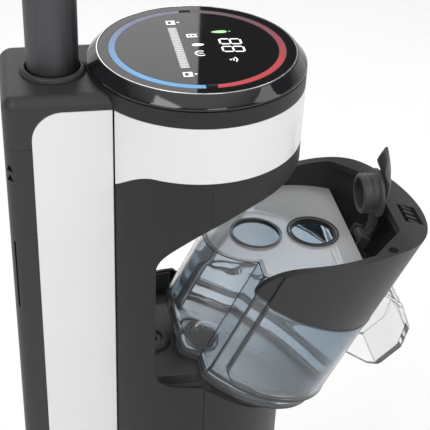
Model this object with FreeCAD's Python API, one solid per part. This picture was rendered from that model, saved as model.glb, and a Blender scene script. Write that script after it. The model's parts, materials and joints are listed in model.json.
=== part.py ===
import FreeCAD, Part
import math
import os

# Upright cordless wet and dry floor scrubber.  Millimetres, +Z up, front is -Y.
# The origin is on the floor below the axis of the round front column.

# ---- driving dimensions ----
DISPLAY_Z = 640.0      # display glass above the floor
BODY_R = 65.0          # radius of the front column
WALL = 2.5             # wall of the column shells
SPINE_X = 37.0         # half width of the rear spine over its side panels
PANEL_T = 2.3          # thickness of the white side panels
SEAM_Y = 53.4          # where the spine's sides meet the column
PANEL_REAR_Y = 99.2    # rear edge of the side panels
REAR_Y = 115.0         # rear face of the spine
BODY_BOTTOM_Z = 152.0  # underside of the body
TUBE_Y = 84.3          # axis of the handle tube
TUBE_R = 15.15
WINDOW_REAR_Y = 31.0   # rear edge of the clean tank's bay
SILL_DROP = 208.5      # bay sill below the display
BAND_DROP = (18.7, 54.2)      # white band, top and bottom below the display

TIP_Y = 19.3           # centre of the clean tank's tip-out arc
TIP_DROP = 302.9
TIP_ANGLE = 25.5       # degrees from seated to tipped out
TANK_R = 64.0
NECK_R = 58.2          # tank radius inside its collar
SKIRT_DROP = 141.2     # shoulder where the collar sits on the tank
TANK_BOTTOM_DROP = 216.0
PLATE_SLOPE = 22.0     # degrees, the tank's top plate falls to the rear
WATER_DROP = 121.0     # water level over the column's axis, seated frame
HOLE_R = 14.0          # filling hole
GRIP_HALF = 18.0       # half width of the tank's front grip
LATCH_X = -8.0         # the tank's latch sits beside the middle of its lip
PLUG_Y, PLUG_DROP = -33.3, 101.7   # plug strap hinge in the seated tank
PLUG_ANGLE = 86.6      # degrees from closed to open
TAB_HALF = 9.0         # half width of the plug's pull tab
NOTCH_HALF = 11.0      # notch in the visor for the tab
NOTCH_TOP_Z = 579.5

ROLLER_Y, ROLLER_R, ROLLER_HALF = -100.0, 27.0, 117.0
ROLLER_PIN_R = 4.0
WHEEL_Y, WHEEL_R, WHEEL_X = 72.0, 30.0, 74.0
LID_TOP_Z = 284.0      # top of the dirty tank's lid
PIVOT_Y, PIVOT_Z = 52.0, 60.0      # recline axis of the neck
PIVOT_R = 8.0
SPIGOT_R = 16.0        # swivel spigot
RUN = 0.05             # radial clearance of the running fits
HEAD_X = 134.0         # half width of the floor head

V = FreeCAD.Vector
X_AXIS, Z_AXIS = V(1, 0, 0), V(0, 0, 1)
TIP_CENTRE = V(0, TIP_Y, DISPLAY_Z - TIP_DROP)
PLUG_HINGE = V(0, PLUG_Y, DISPLAY_Z - PLUG_DROP)


# ---- helpers ----
def below(drop):
    """Height of a point that lies drop below the display glass."""
    return DISPLAY_Z - drop


def box(x0, x1, y0, y1, z0, z1):
    return Part.makeBox(x1 - x0, y1 - y0, z1 - z0, V(x0, y0, z0))


def rod(radius, start, end):
    """Solid cylinder between two points."""
    start, end = V(*start), V(*end)
    return Part.makeCylinder(radius, (end - start).Length, start, end - start)


def disc(radius, z0, z1, x=0, y=0):
    return rod(radius, (x, y, z0), (x, y, z1))


def ring(outer, inner, z0, z1, x=0, y=0):
    return disc(outer, z0, z1, x, y).cut(disc(inner, z0 - 1, z1 + 1, x, y))


def prism_x(points, x0, x1):
    """Outline of (y, z) points pushed along X."""
    loop = [V(x0, y, z) for y, z in points]
    return Part.Face(Part.makePolygon(loop + loop[:1])).extrude(V(x1 - x0, 0, 0))


def curve_prism_x(curve, corners, x0, x1):
    """Outline of a smooth curve through (y, z) points closed by straight corners."""
    spline = Part.BSplineCurve()
    spline.interpolate([V(x0, y, z) for y, z in curve])
    line = Part.makePolygon([V(x0, y, z) for y, z in curve[-1:] + corners + curve[:1]])
    wire = Part.Wire([spline.toShape()] + line.Edges)
    return Part.Face(wire).extrude(V(x1 - x0, 0, 0))


def turned(points, x=0, y=0):
    """Ring turned from (radius, z) points about a vertical axis."""
    loop = [V(x + r, y, z) for r, z in points]
    face = Part.Face(Part.makePolygon(loop + loop[:1]))
    return face.revolve(V(x, y, 0), Z_AXIS, 360)


def turned_x(points, y, z):
    """Ring turned from (radius, x) points about an axis along X."""
    loop = [V(x, y, z + r) for r, x in points]
    face = Part.Face(Part.makePolygon(loop + loop[:1]))
    return face.revolve(V(0, y, z), X_AXIS, 360)


def fused(shapes):
    return shapes[0].multiFuse(list(shapes[1:])).removeSplitter()


def rounded(shape, radius, pick):
    """Fillet of the edges that pick(edge) chooses."""
    edges = [e for e in shape.Edges if pick(e)]
    return shape.makeFillet(radius, edges)


def is_upright(edge):
    box_ = edge.BoundBox
    return box_.XLength < 0.01 and box_.YLength < 0.01


def along_x(edge):
    box_ = edge.BoundBox
    return box_.YLength < 0.01 and box_.ZLength < 0.01


def mirrored(shape):
    return shape.mirror(V(0, 0, 0), X_AXIS)


# ---- floor head ----
def head_base():
    """Tray with cheeks that carry the roller, and the wheels' bay walls."""
    tray = box(-HEAD_X + 4, HEAD_X - 4, -66, 96, 9, 13)
    parts = [tray]
    for side in (-1, 1):
        cheek = prism_x([(-129, 14), (-126, 8), (-64, 8), (-60, 13), (96, 13), (96, 32), (20, 44),
                         (-60, 58), (-100, 59), (-122, 48), (-130, 30)], 0, 5)
        cheek.translate(V(HEAD_X - 5 if side > 0 else -HEAD_X, 0, 0))
        parts.append(cheek)
    for x in (-34, 34):
        parts.append(box(x - 7, x + 7, PIVOT_Y - 15, PIVOT_Y + 15, 12, PIVOT_Z))
        parts.append(rod(15, (x - 7, PIVOT_Y, PIVOT_Z), (x + 7, PIVOT_Y, PIVOT_Z)))
    base = fused(parts)
    base = base.cut(rod(PIVOT_R, (-50, PIVOT_Y, PIVOT_Z), (50, PIVOT_Y, PIVOT_Z)))
    for side in (-1, 1):
        x = side * WHEEL_X
        base = base.cut(box(x - 13, x + 13, WHEEL_Y - 33, 97, 5, 20))
    bore = rod(ROLLER_PIN_R + RUN, (2 - HEAD_X, ROLLER_Y, ROLLER_R), (HEAD_X - 2, ROLLER_Y, ROLLER_R))
    return base.cut(bore)


def head_cover():
    """Top shell of the head, open at the rear for the neck."""
    outline = [(-62, 14), (-62, 64), (-40, 70), (10, 60), (60, 47), (96, 34), (96, 14)]
    inner = [(-65, 11), (-65, 61.2), (-40, 67.4), (9, 57.5), (59, 44.5), (93.5, 32), (93.5, 11)]
    half = HEAD_X - 5.4
    shell = prism_x(outline, -half, half)
    shell = rounded(shell, 6, lambda e: along_x(e) and e.BoundBox.ZMin > 40)
    shell = shell.cut(prism_x(inner, -half + 2.5, half - 2.5))
    slot = box(-45, 45, 14, 100, 12, 80)
    shell = shell.cut(rounded(slot, 10, lambda e: is_upright(e) and e.BoundBox.YMin < 20))
    for side in (-1, 1):
        x = side * WHEEL_X
        shell = shell.cut(box(x - 12.5, x + 12.5, WHEEL_Y - 33, WHEEL_Y + 33, 10, 80))
    return shell


def brush_window():
    """Clear quarter cover over the roller."""
    outer, inner = 36.0, 33.6
    half = HEAD_X - 5.4
    shell = rod(outer, (-half, ROLLER_Y, 29), (half, ROLLER_Y, 29))
    shell = shell.cut(rod(inner, (-half - 1, ROLLER_Y, 29), (half + 1, ROLLER_Y, 29)))
    keep = prism_x([(ROLLER_Y, 29), (-139, 40), (-139, 70), (-66, 70)], -half, half)
    lip = prism_x([(-80, 56.2), (-78, 59), (-62.3, 62.4), (-62.3, 60)], -half, half)
    return fused([shell.common(keep), lip])


def scraper_blade():
    return prism_x([(-71.2, 30.4), (-69.2, 30.4), (-65.6, 50), (-68.4, 50)], -115, 115)


def squeegee():
    """Rubber strip behind the suction mouth, clipped to the tray."""
    return prism_x([(-71.4, 1), (-69.6, 1), (-68.4, 8), (-68.4, 17), (-71.4, 17)], -122, 122)


def suction_duct():
    """Flat mouth behind the roller that narrows into a round duct."""
    mouth = box(-60, 60, -68.2, -58, 14, 30).cut(box(-57, 57, -69, -60, 17, 27))
    tunnel = rod(17, (0, -60, 30), (0, 20, 30)).cut(rod(14.5, (0, -61, 30), (0, 21, 30)))
    plenum = box(-22, 22, -62, -50, 14, 46).cut(box(-19, 19, -63, -51.5, 17, 43))
    opened = fused([mouth, plenum]).cut(rod(14.5, (0, -61, 30), (0, -40, 30)))
    return fused([opened, tunnel.cut(box(-19, 19, -63, -51.5, 17, 43))])


def brush_motor():
    z = 34.5
    can = rod(16, (44, -28, z), (104, -28, z))
    nose = rod(5, (104, -28, z), (112, -28, z))
    gearbox = rod(20, (112, -28, z), (122, -28, z))
    return fused([can, nose, gearbox])


def wheel_axle():
    """Two steel stub axles that the rear wheels turn on."""
    stubs = []
    for side in (-1, 1):
        start = side * (WHEEL_X - 14)
        end = side * (WHEEL_X + 14)
        stubs.append(rod(4, (start, WHEEL_Y, WHEEL_R), (end, WHEEL_Y, WHEEL_R)))
    return Part.makeCompound(stubs)


def wheel_posts():
    """Bearing posts that hold the stub axles."""
    posts = []
    for side in (-1, 1):
        for offset in (-15.5, 12.5):
            x = side * WHEEL_X + offset
            post = box(x, x + 3, WHEEL_Y - 6, WHEEL_Y + 6, 13, WHEEL_R + 6)
            posts.append(post.cut(rod(4, (x - 1, WHEEL_Y, WHEEL_R), (x + 4, WHEEL_Y, WHEEL_R))))
    return Part.makeCompound(posts)


def brush_roller():
    """Soft nap sleeve on the driven core."""
    return turned_x([(ROLLER_R, -ROLLER_HALF), (ROLLER_R, ROLLER_HALF), (19.2, ROLLER_HALF),
                     (19.2, -ROLLER_HALF)], ROLLER_Y, ROLLER_R)


def roller_core():
    z = ROLLER_R
    core = rod(19, (-ROLLER_HALF - 4, ROLLER_Y, z), (ROLLER_HALF + 4, ROLLER_Y, z))
    pins = rod(ROLLER_PIN_R, (3 - HEAD_X, ROLLER_Y, z), (HEAD_X - 3, ROLLER_Y, z))
    return fused([core, pins])


def wheel(side):
    """Rear wheel with a hub and a rounded tread."""
    profile = [(4 + RUN, -10), (12, -10), (13, -8), (24, -8), (25, -10), (28, -10), (WHEEL_R, -7),
               (WHEEL_R, 7), (28, 10), (25, 10), (24, 8), (13, 8), (12, 10), (4 + RUN, 10)]
    shape = turned_x(profile, WHEEL_Y, WHEEL_R)
    shape.translate(V(side * WHEEL_X, 0, 0))
    return shape


# ---- neck ----
def neck_yoke():
    """Block between the head's ears with the swivel bore on top."""
    lower = rod(15, (-26.4, PIVOT_Y, PIVOT_Z), (26.4, PIVOT_Y, PIVOT_Z))
    web = box(-26.4, 26.4, PIVOT_Y - 15, PIVOT_Y + 15, PIVOT_Z, 100)
    collar = disc(26, 88, 128, 0, PIVOT_Y)
    block = fused([lower, web, collar])
    block = block.cut(disc(SPIGOT_R + RUN, 96, 129, 0, PIVOT_Y))
    return block.cut(rod(PIVOT_R, (-27, PIVOT_Y, PIVOT_Z), (27, PIVOT_Y, PIVOT_Z)))


def trunnion_pin():
    """Steel cross pin of the recline joint, pressed in the yoke."""
    return rod(PIVOT_R - RUN, (-42, PIVOT_Y, PIVOT_Z), (42, PIVOT_Y, PIVOT_Z))


# ---- body shells ----
def keyhole(z0, z1, radius, half, rear):
    """Plan of the body: a round column with a narrow spine behind it."""
    return fused([disc(radius, z0, z1), box(-half, half, 0, rear, z0, z1)])


def bay_window():
    """Opening through the column for the clean tank, seen from the side."""
    arch = [(WINDOW_REAR_Y, below(119)), (29.2, below(112)), (26, below(107)), (17.7, below(98.5)),
            (3.6, below(87.8)), (-10.9, below(80)), (-23.2, below(74.9)), (-39.9, below(71.1)),
            (-58.4, below(67.7)), (-80, below(65.5))]
    corners = [(-80, below(277)), (2, below(SILL_DROP)), (WINDOW_REAR_Y - 8, below(SILL_DROP)),
               (WINDOW_REAR_Y - 2.3, below(SILL_DROP - 2.3)),
               (WINDOW_REAR_Y, below(SILL_DROP - 8))]
    return curve_prism_x(arch, corners, -80, 80)


def column_shell():
    """Hollow keyhole shell from the bottom to the white band, with the bay cut through."""
    half = SPINE_X - PANEL_T - 0.1
    top = below(BAND_DROP[1])
    outer = keyhole(BODY_BOTTOM_Z + 12, top, BODY_R, half, PANEL_REAR_Y)
    inner = keyhole(BODY_BOTTOM_Z + 11, top + 1, BODY_R - WALL, half - WALL, PANEL_REAR_Y + 1)
    return outer.cut(inner).cut(bay_window())


def band_skirt(z_low):
    """Region that the white band covers, deepening towards the seams at its rear."""
    curve = [(30, below(BAND_DROP[1])), (37, below(55.0)), (43, below(58.2)), (48, below(62.5)),
             (SEAM_Y, below(67.8))]
    corners = [(70, below(67.8)), (70, z_low), (-70, z_low), (-70, below(BAND_DROP[1]))]
    return curve_prism_x(curve, corners, -70, 70)


def visor_shell(shell):
    """Front of the column above the bay, notched where the plug's tab swings through."""
    visor = shell.common(box(-70, 70, -70, -0.1, below(110), below(50)))
    return visor.cut(box(-NOTCH_HALF, NOTCH_HALF, -70, -40, below(110), NOTCH_TOP_Z))


def front_shell(shell):
    """Front of the column below the bay, above the dirty tank."""
    return shell.common(box(-70, 70, -70, -0.1, LID_TOP_Z + 2, below(205)))


def rear_shell():
    """Rear of the column and the hollow spine behind it, with its two cross decks."""
    half = SPINE_X - PANEL_T - 0.1
    shell = column_shell()
    shell = shell.common(box(-70, 70, 0.1, PANEL_REAR_Y, BODY_BOTTOM_Z + 12, below(50)))
    skirt = band_skirt(below(40))
    sides = [box(-70, -half - 0.2, 0, 60, below(80), below(50)),
             box(half + 0.2, 70, 0, 60, below(80), below(50))]
    shell = shell.cut(skirt.common(Part.makeCompound(sides)))
    top = box(-half, half, SEAM_Y, PANEL_REAR_Y, below(56), below(21))
    top = top.cut(box(-half + WALL, half - WALL, SEAM_Y - 1, PANEL_REAR_Y + 1, below(57), below(20)))
    top = top.cut(disc(BODY_R + 0.2, below(60), below(0)))
    decks = [box(1 - half, half - 1, 76, PANEL_REAR_Y, z, z + 3) for z in (274, 580.5)]
    return without_panels(fused([shell, top] + decks))


def white_band():
    """White band round the column, deeper beside the seams."""
    half = SPINE_X - PANEL_T + 0.1
    band = ring(BODY_R, BODY_R - WALL, below(67.8), below(BAND_DROP[0]))
    band = band.common(band_skirt(below(10)))
    return without_panels(band.cut(box(-half, half, 0, 80, below(90), below(0))))


def head_band():
    """Dark ring between the white band and the bezel."""
    band = ring(BODY_R, BODY_R - WALL, below(BAND_DROP[0] - 0.1), below(8.4))
    floor = disc(BODY_R - WALL, below(BAND_DROP[0] - 0.1), below(16.4))
    return fused([band, floor])


def bezel_ring():
    """Glossy bevelled ring that holds the display glass."""
    return turned([(58.25, below(0)), (59.1, below(0)), (59.8, below(0.5)), (64.4, below(5.6)),
                   (BODY_R, below(6.6)), (BODY_R, below(7.6)), (63.6, below(8.3)), (55, below(8.3)),
                   (55, below(3.2)), (58.25, below(3.2))])


def display_glass():
    """Black glass with a shallow groove for the light ring."""
    glass = disc(58.0, below(3.1), below(0))
    return glass.cut(ring(52.0, 48.0, below(0.8), below(-1)))


def led_arc(front):
    """Half of the light ring: the rear half is the cool one, the front half the warm one."""
    arc = ring(51.95, 48.05, below(0.75), below(0.02))
    side = box(-60, 60, -60, -3.4, below(2), below(-1))
    if not front:
        side = box(-60, 60, 3.4, 60, below(2), below(-1))
    return arc.common(side)


def display_board():
    """Round circuit board with its driver chips."""
    board = disc(54, below(11), below(9.4))
    chips = [box(x - 5, x + 5, y - 4, y + 4, below(12.6), below(11))
             for x, y in ((-25, 10), (0, -20), (25, 10), (0, 30))]
    return fused([board] + chips)


def bay_floor():
    """Deck of the bay: a plateau with the water port, side troughs and a front ramp."""
    inner_r = BODY_R - WALL - 0.2
    plan = fused([disc(inner_r, below(300), below(200)),
                  box(-31.8, 31.8, 40, 75, below(300), below(200))])
    deck = prism_x([(76, below(228)), (-8, below(228)), (-70, below(268)), (-70, below(271)),
                    (-9, below(231)), (76, below(231))], -70, 70)
    plateau = prism_x([(76, below(220)), (-2, below(220)), (-22, below(234)), (-22, below(240)),
                       (-9, below(230)), (76, below(230))], -38, 38)
    floor = fused([deck, plateau]).common(plan)
    lip = ring(inner_r, inner_r - 1.1, below(230), below(209.5))
    lip = lip.common(box(-70, 70, 4, 40, below(240), below(200)))
    floor = fused([floor, lip])
    return floor.cut(disc(9.2, below(240), below(210), 0, 26))


def water_port():
    """Ringed boss of the water coupler in the bay's deck."""
    outline = [(9, below(231)), (9, below(219)), (13, below(219)), (13, below(218)), (9.5, below(217.2)),
               (8, below(217.2)), (7, below(219)), (4, below(219)), (4, below(231))]
    return turned(outline, 0, 26)


def bay_liner():
    """Ceiling, cheeks and niche wall that close the bay off from the machine's inside."""
    inner_r = BODY_R - WALL - 0.3
    high, low = below(49.2), below(57.5)
    front = box(-70, 70, -70, 41, high - 2.5, high).common(disc(inner_r, high - 3, high + 1))
    rear = box(-31.6, 31.6, 38.7, 75.5, low - 2.5, low)
    riser = box(-31.6, 31.6, 38.7, 41, low - 2.5, high)
    back = box(-31.6, 31.6, 73.5, 75.5, below(219.5), low - 1)
    cheeks = []
    for x0, x1 in ((-60, -30.2), (30.2, 60)):
        wall = box(x0, x1, 38.7, 41, below(209), high - 1)
        cheeks.append(wall.common(disc(inner_r, below(230), below(40))))
    for x0 in (-31.6, 30.2):
        cheeks.append(box(x0, x0 + 1.4, 38.7, 75, below(209), low - 1))
    return fused([front, rear, riser, back] + cheeks)


def side_panel(side):
    """White panel on the spine's side, with a round top rear corner."""
    x0 = SPINE_X - PANEL_T
    panel = box(x0, SPINE_X, SEAM_Y + 0.15, PANEL_REAR_Y, BODY_BOTTOM_Z + 14, below(BAND_DROP[0]))
    corner = [e for e in panel.Edges if along_yz_corner(e)]
    panel = panel.makeFillet(18, corner)
    return panel if side > 0 else mirrored(panel)


def along_yz_corner(edge):
    """Top rear edge of a side panel, which runs along X."""
    return along_x(edge) and edge.BoundBox.ZMin > 500 and edge.BoundBox.YMin > 90


def without_panels(shape):
    """The shape with the pockets of both side panels cut out."""
    return shape.cut(grown_panel(-1)).cut(grown_panel(1))


def spine_cap():
    """Dark top of the spine with the socket for the handle tube."""
    top = below(10.5)
    cap = box(-SPINE_X, SPINE_X, SEAM_Y + 0.15, REAR_Y, below(41.6), top)
    cap = rounded(cap, 8.5, lambda e: is_upright(e) and e.BoundBox.YMin > 90)
    cap = cap.makeFillet(7.5, [e for e in cap.Edges if e.BoundBox.ZMin > top - 0.01
                               and e.BoundBox.YMax > SEAM_Y + 1])
    inner = box(-SPINE_X + PANEL_T - 0.05, SPINE_X - PANEL_T + 0.05, 40, PANEL_REAR_Y + 0.1,
                below(60), below(20.9))
    cap = without_panels(cap.cut(inner)).cut(disc(BODY_R + 0.15, below(60), below(0)))
    return cap.cut(disc(18.1, below(60), below(0), 0, TUBE_Y))


def grown_panel(side):
    """Pocket of a side panel in the dark spine parts."""
    panel = box(SPINE_X - PANEL_T - 0.1, SPINE_X + 1, SEAM_Y - 1, PANEL_REAR_Y + 0.15,
                BODY_BOTTOM_Z, below(BAND_DROP[0]) + 0.15)
    panel = panel.makeFillet(18, [e for e in panel.Edges if along_yz_corner(e)])
    return panel if side > 0 else mirrored(panel)


def rear_cover():
    """Removable rear cover of the spine over the battery, with an exhaust grille."""
    low = BODY_BOTTOM_Z + 12
    cover = box(-SPINE_X, SPINE_X, PANEL_REAR_Y + 0.1, REAR_Y, low, below(41.8))
    cover = rounded(cover, 8.5, lambda e: is_upright(e) and e.BoundBox.YMin > 110)
    cover = cover.cut(box(3 - SPINE_X, SPINE_X - 3, 90, REAR_Y - 3, low + 3, below(40)))
    cover = without_panels(cover)
    slots = [box(-22, 22, REAR_Y - 5, REAR_Y + 1, z, z + 3) for z in range(205, 262, 7)]
    return cover.cut(Part.makeCompound(slots))


def tube_collar():
    """Raised socket ring round the foot of the handle tube."""
    top = below(7.5)
    return turned([(15.6, below(56.5)), (18, below(56.5)), (18, below(10.5)), (19.4, below(10.4)),
                   (18.6, top - 0.8), (17.4, top), (16.3, top), (15.6, top - 1.4)], 0, TUBE_Y)


def base_plate():
    """Bottom plate of the body with the swivel spigot's flange seat."""
    low, high = BODY_BOTTOM_Z, BODY_BOTTOM_Z + 11.7
    plate = keyhole(low, high, BODY_R - 0.4, SPINE_X, REAR_Y - 1)
    plate = rounded(plate, 8, lambda e: is_upright(e) and e.BoundBox.YMin > 100)
    return plate.cut(disc(24, low + 5, high + 1, 0, PIVOT_Y)).cut(disc(18, low - 1, high, 0, PIVOT_Y))


def swivel_spigot():
    """Hollow steering spigot that turns in the neck."""
    low = 99.0
    body = disc(SPIGOT_R, low, BODY_BOTTOM_Z + 5, 0, PIVOT_Y)
    skirt = disc(17.9, BODY_BOTTOM_Z - 22, BODY_BOTTOM_Z + 5, 0, PIVOT_Y)
    flange = disc(23.8, BODY_BOTTOM_Z + 5, BODY_BOTTOM_Z + 10, 0, PIVOT_Y)
    spigot = fused([body, skirt, flange])
    return spigot.cut(disc(11, low - 1, BODY_BOTTOM_Z + 11, 0, PIVOT_Y))


# ---- inside the body ----
def battery_pack():
    """Six round cells in two layers between end caps."""
    cells = []
    for x in (-18.8, 0, 18.8):
        for z in (292, 362):
            cells.append(disc(9.2, z, z + 65, x, 87))
    caps = [box(-28.5, 28.5, 77.5, 96.5, z, z + 5) for z in (287, 357, 427)]
    return fused(cells + caps)


def vacuum_motor():
    """Motor can with its round fan housing below, hollow for the impeller."""
    can = disc(31, 330, 368, 0, -10)
    case = disc(38, 288, 330, 0, -10).cut(disc(35.5, 291, 327, 0, -10))
    case = case.cut(disc(14, 287, 292, 0, -10))
    return fused([can, case]).cut(disc(3 + RUN, 320, 350, 0, -10))


def impeller():
    """Centrifugal fan on the motor's shaft."""
    hub = disc(8, 296, 322, 0, -10)
    back = disc(33, 318, 320, 0, -10)
    front = ring(33, 13, 301, 302.5, 0, -10)
    blades = []
    for i in range(9):
        blade = box(7, 32.8, -0.7, 0.7, 301, 319)
        blade.translate(V(0, -10, 0))
        blade.rotate(V(0, -10, 0), Z_AXIS, 40 * i)
        blades.append(blade)
    shaft = disc(3, 320, 348, 0, -10)
    return fused([hub, back, front, shaft] + blades)


def exhaust_filter():
    """Pleated filter block behind the grille of the rear cover."""
    return box(-26, 26, 80, 96, 200, 266)


def water_pump():
    """Small pump with two hose barbs."""
    body = disc(11, 335, 378, 38, 26)
    barbs = [rod(2.5, (38, 26, 378), (38, 26, 388)), rod(2.5, (38, 36, 345), (38, 46, 345))]
    return fused([body] + barbs)


# ---- handle ----
def handle_tube():
    return ring(TUBE_R, TUBE_R - 1.2, below(56), 1000, 0, TUBE_Y)


def grip_outline(points, radius):
    shape = prism_x(points, -15.5, 15.5)
    return rounded(shape, radius, along_x)


def grip_half(side):
    """One half of the loop grip; the halves meet on the middle plane."""
    outer = grip_outline([(64, 948), (104.6, 948), (112, 985), (157.2, 1088), (144, 1112), (66, 1112),
                          (54, 1098), (58, 985)], 9)
    hole = grip_outline([(78, 1010), (99, 1010), (126, 1080), (118, 1090), (82, 1090), (76, 1082)], 4.5)
    grip = outer.cut(hole)
    grip = rounded(grip, 4, lambda e: e.BoundBox.XLength < 0.01 and e.BoundBox.XMax > 15.4)
    grip = grip.cut(disc(TUBE_R + 0.1, 940, 1001, 0, TUBE_Y))
    for z in (1042, 1068):
        grip = grip.cut(rod(7.4, (0, 40, z), (0, 62.5, z)))
    keep = box(0.05, 20, 0, 200, 900, 1200)
    if side < 0:
        keep = box(-20, -0.05, 0, 200, 900, 1200)
        grip = mirrored(grip)
    return grip.common(keep)


def grip_button(z):
    """Round push button in the front of the grip."""
    button = rod(7.0, (0, 53.2, z), (0, 60.4, z))
    return rounded(button, 1.2, lambda e: e.BoundBox.YMax < 53.3)


# ---- dirty water tank ----
def dirty_plan(z0, z1, shrink):
    front = disc(BODY_R - 0.2 - shrink, z0, z1).common(box(-70, 70, -70, -0.4 - shrink, z0, z1))
    rear = disc(BODY_R - WALL - 0.6 - shrink, z0, z1)
    rear = rear.common(box(-70, 70, -3 - shrink, 22 - shrink, z0, z1))
    return fused([front, rear])


def dirty_tank_shell():
    """Clear bucket of the dirty water tank."""
    tank = dirty_plan(BODY_BOTTOM_Z + 12, 262, 0)
    return tank.cut(dirty_plan(BODY_BOTTOM_Z + 15, 263, 2.4))


def dirty_tank_lid():
    """Lid with the float's cage and the air passage under the fan."""
    lid = dirty_plan(262.2, LID_TOP_Z, 0)
    lid = lid.cut(dirty_plan(261, LID_TOP_Z - 3, 2.4))
    lid = lid.cut(disc(9, LID_TOP_Z - 4, LID_TOP_Z + 1, 0, -10))
    cage = ring(15.5, 13.2, 218, LID_TOP_Z - 2.5, 0, -10)
    seat = ring(14, 6, 218, 220, 0, -10)
    windows = [box(-20, 20, -13, -7, 226, 268), box(-3, 3, -30, 10, 226, 268)]
    cage = fused([cage, seat]).cut(Part.makeCompound(windows))
    lid = fused([lid, cage])
    return lid.cut(box(-15.4, 15.4, -70, -57, 267.6, 278.4))


def float_ball():
    return Part.makeSphere(12.6, V(0, -10, 231.2))


def dirty_tank_latch():
    """Push button that frees the dirty water tank."""
    button = box(-15, 15, -65.4, -61.2, 268, 278)
    return rounded(button, 1.2, lambda e: e.BoundBox.YMax < -65.3)


# ---- clean water tank, drawn seated and then tipped out ----
def tank_frame():
    """Half-spaces of the tank's top plate plane, as a wedge below it."""
    drop = math.tan(math.radians(PLATE_SLOPE))
    front, rear = -90.0, 100.0
    top_front = below(111) - drop * (front + 1)
    top_rear = below(111) - drop * (rear + 1)
    return [(front, top_front), (rear, top_rear)]


def under_plate(offset):
    (y0, z0), (y1, z1) = tank_frame()
    points = [(y0, z0 - offset), (y1, z1 - offset), (y1, below(260)), (y0, below(260))]
    return prism_x(points, -70, 70)


def tank_plan(z0, z1, radius, shrink=0.0):
    """Plan of the tank: round front, straight rear edges and a narrow nose behind."""
    front = disc(radius - shrink, z0, z1).common(box(-70, 70, -70, 37.8 - shrink, z0, z1))
    nose = box(shrink - 29.6, 29.6 - shrink, 0, 66.5 - shrink, z0, z1)
    nose = rounded(nose, 28 - shrink, lambda e: is_upright(e) and e.BoundBox.YMin > 50)
    return fused([front, nose])


def tank_side(z0, z1, shrink):
    """Outer side walls that fill the bay's window, with the sill's corners chamfered."""
    side = disc(TANK_R - shrink, z0, z1).common(box(-70, 70, -70, 30.4 - shrink, z0, z1))
    chamfer = prism_x([(31, below(197)), (31, below(208)), (20, below(208))], -70, 70)
    return side.cut(chamfer)


def tank_blank(shrink):
    """Solid of the tank below its top plate, with a narrow neck and a sloping heel."""
    bottom = below(TANK_BOTTOM_DROP - shrink)
    skirt = below(SKIRT_DROP + shrink)
    lower = tank_plan(below(207), skirt, 61.7, shrink)
    side = tank_side(below(206 - shrink), skirt, shrink)
    foot = tank_plan(bottom, below(205), 60.0, shrink)
    neck = tank_plan(skirt - 1, below(90), NECK_R, shrink)
    front = box(-70, 70, shrink - 24.6, 90, below(150), below(80))
    step = box(-70, 70, -70, 0, below(150), below(121 + shrink))
    tank = fused([lower, side, foot, neck.common(fused([front, step]))])
    heel = [(80, below(172 - 1.2 * shrink)), (54 - shrink, below(213 - shrink)), (40 - shrink, below(232)),
            (80, below(232))]
    return tank.cut(prism_x(heel, -40, 40))


def tank_shell():
    """Clear shell of the clean water tank."""
    outer = tank_blank(0).common(under_plate(2.4))
    shell = outer.cut(tank_blank(2.2).common(under_plate(2.3)))
    return shell.cut(disc(7.2, below(230), below(210), 0, 26))


def tank_water():
    """Water in the tank, level when the tank is tipped out."""
    slope = math.tan(math.radians(TIP_ANGLE))
    middle = below(WATER_DROP)
    level = [(-90, middle + slope * 90), (90, middle - slope * 90), (90, below(260)),
             (-90, below(260))]
    water = tank_blank(2.4).common(under_plate(2.6)).common(prism_x(level, -70, 70))
    dip = tilted(disc(HOLE_R, below(111) - 9.5, below(111) + 5, 0, -1), -1)
    return water.cut(disc(9.8, below(230), below(204), 0, 26)).cut(dip)


def tank_plate():
    """Sloping top plate with the filling hole and the valve hole."""
    plate = tank_plan(below(170), below(85), NECK_R)
    plate = plate.common(under_plate(0)).cut(under_plate(2.35))
    plate = plate.cut(box(-70, 70, -70, -24.6, below(170), below(80)))
    for y in (-1, 35):
        plate = plate.cut(tilted(disc(HOLE_R + 1.6, below(111) - 10, below(111) + 10, 0, -1), y))
    return plate


def tilted(shape, y):
    """A piece drawn level at the filling hole, turned to the plate and slid to y."""
    slope = math.radians(PLATE_SLOPE)
    moved = shape.copy()
    moved.rotate(V(0, -1, below(111)), X_AXIS, -PLATE_SLOPE)
    run = (y + 1) / math.cos(slope)
    moved.translate(V(0, run * math.cos(slope), -run * math.sin(slope)))
    return moved


def fill_gasket():
    """Rubber gasket ring of the filling hole."""
    z = below(111)
    profile = [(HOLE_R, z - 5), (HOLE_R + 1.4, z - 5), (HOLE_R + 1.4, z + 0.1), (HOLE_R + 3.6, z + 0.1),
               (HOLE_R + 3.0, z + 1.9), (HOLE_R + 0.9, z + 2.3), (HOLE_R, z + 1.2)]
    return tilted(turned(profile, 0, -1), -1)


def vent_ring():
    """Second ring of the top plate, with its clear valve cap."""
    z = below(111)
    profile = [(HOLE_R, z - 4), (HOLE_R + 1.4, z - 4), (HOLE_R + 1.4, z + 0.1), (HOLE_R + 3.4, z + 0.1),
               (HOLE_R + 3.0, z + 1.0), (HOLE_R, z + 1.0)]
    cap = disc(HOLE_R + 0.3, z - 2.6, z - 1.4, 0, -1)
    return tilted(fused([turned(profile, 0, -1), cap]), 35)


def collar_top():
    """Region under the collar's swept top edge."""
    curve = [(37.6, below(138)), (36.4, below(131)), (33, below(123)), (28, below(115.5)),
             (11, below(101)), (-14, below(84)), (-30, below(75.8)), (-46, below(72)),
             (-66, below(69.2))]
    corners = [(-66, below(141)), (37.6, below(141))]
    return curve_prism_x(curve, corners, -70, 70)


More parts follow.
